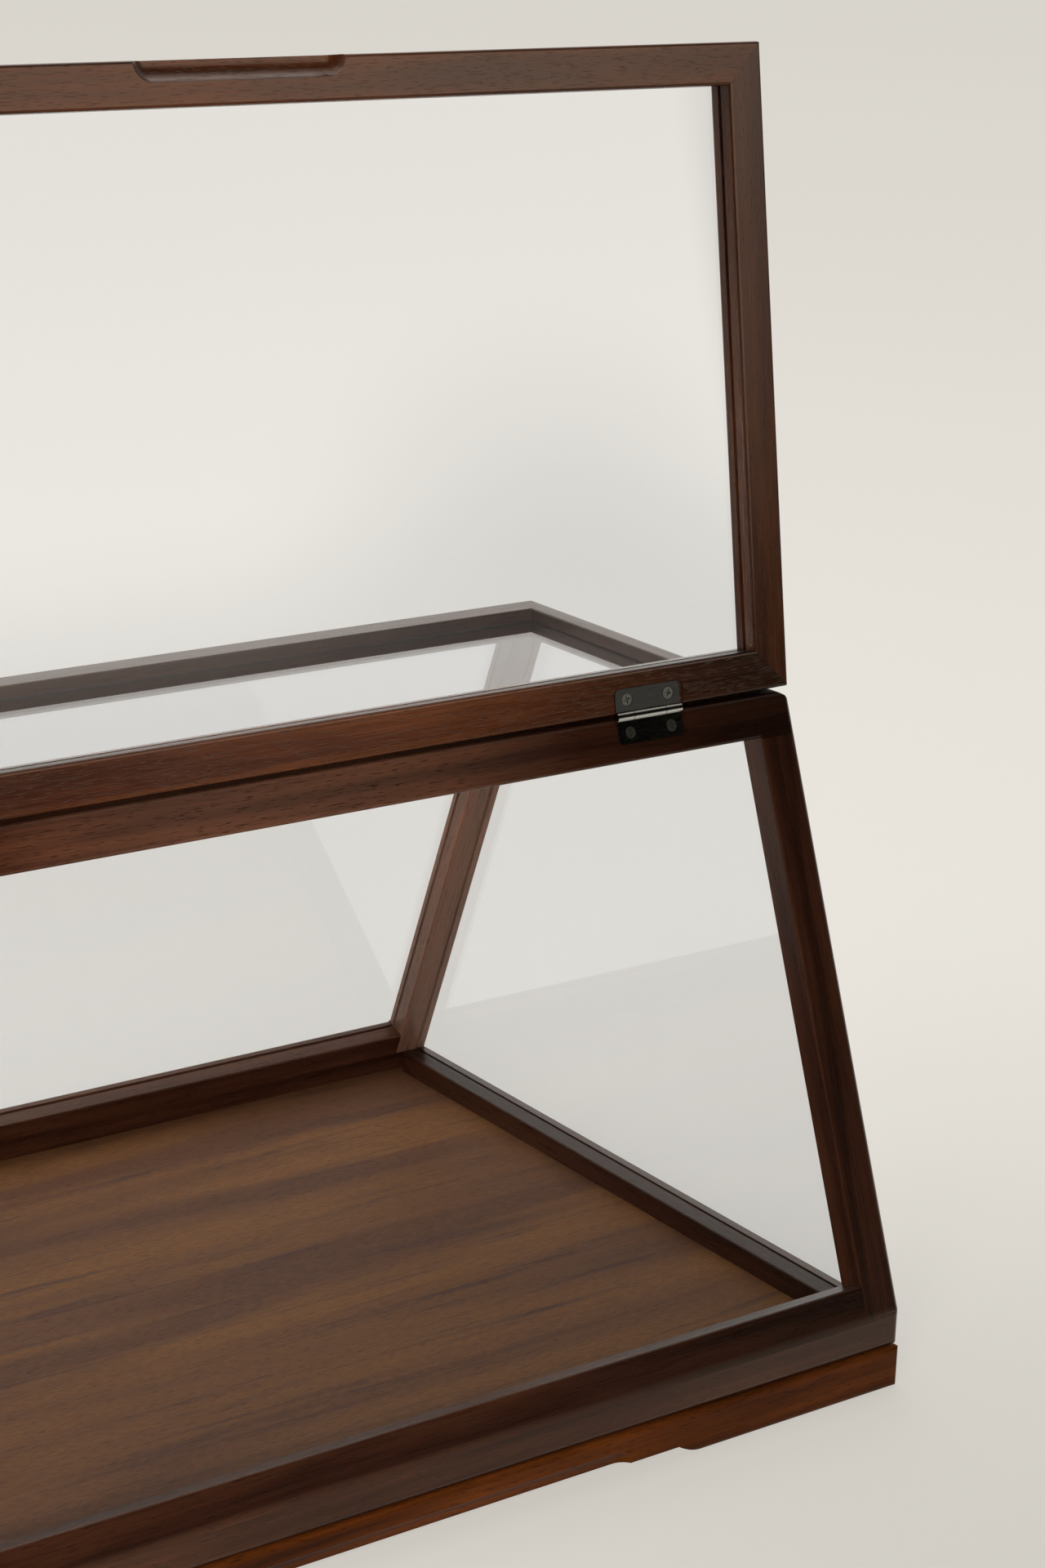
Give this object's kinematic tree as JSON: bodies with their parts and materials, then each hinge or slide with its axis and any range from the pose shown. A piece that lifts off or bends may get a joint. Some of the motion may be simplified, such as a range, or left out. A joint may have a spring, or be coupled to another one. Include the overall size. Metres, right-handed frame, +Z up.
{
  "type": "tabletop display case",
  "caption": "Low wood and glass showcase on a plinth, with leaning front and back, a glazed top and a front door that swings up and over on hinges.",
  "frame": {"origin": "on the table, under the middle of the plinth", "axes": "+Z up, +X along the case to the right as seen from the front, -Y out of the front, where the door opens"},
  "size_m": [0.57, 0.428, 0.6317],
  "materials": {
    "plinth_wood": "satin lacquer over orange-brown stain",
    "case_wood": "satin lacquer over dark reddish stain",
    "door_wood": "satin lacquer over dark reddish stain",
    "floor_wood": "matt lacquered veneer",
    "glass": "clear polished",
    "hinge_steel": "bright plated",
    "screw_steel": "bright zinc plated"
  },
  "bodies": {
    "case": {"plinth_rail_front": "plinth_wood", "plinth_rail_back": "plinth_wood", "plinth_rail_right": "plinth_wood", "plinth_rail_left": "plinth_wood", "lower_rail_front": "case_wood", "lower_rail_back": "case_wood", "lower_rail_right": "case_wood", "lower_rail_left": "case_wood", "floor_panel": "floor_wood", "sill_rail_front": "case_wood", "sill_rail_back": "case_wood", "post_front_right": "case_wood", "post_front_left": "case_wood", "post_back_right": "case_wood", "post_back_left": "case_wood", "top_rail_front": "case_wood", "top_rail_back": "case_wood", "top_rail_right": "case_wood", "top_rail_left": "case_wood", "glass_top": "glass", "glass_back": "glass", "glass_end_right": "glass", "glass_end_left": "glass", "hinge_left_case_leaf": "hinge_steel", "hinge_left_pin": "hinge_steel", "hinge_left_case_screw_1": "screw_steel", "hinge_left_case_screw_2": "screw_steel", "hinge_right_case_leaf": "hinge_steel", "hinge_right_pin": "hinge_steel", "hinge_right_case_screw_1": "screw_steel", "hinge_right_case_screw_2": "screw_steel", "plinth_screw_front_left": "screw_steel", "plinth_screw_back_left": "screw_steel", "plinth_screw_front_right": "screw_steel", "plinth_screw_back_right": "screw_steel"},
    "door": {"door_rail_hinged": "door_wood", "door_rail_free": "door_wood", "door_stile_right": "door_wood", "door_stile_left": "door_wood", "door_glass": "glass", "hinge_left_door_leaf": "hinge_steel", "hinge_left_door_screw_1": "screw_steel", "hinge_left_door_screw_2": "screw_steel", "hinge_right_door_leaf": "hinge_steel", "hinge_right_door_screw_1": "screw_steel", "hinge_right_door_screw_2": "screw_steel"}
  },
  "joints": [
    {"name": "door_swing", "type": "hinge", "parent": "case", "child": "door", "pos_m": [0, -0.10456, 0.32776], "axis": [1, 0, 0], "range_deg": [0, 167.8]}
  ]
}
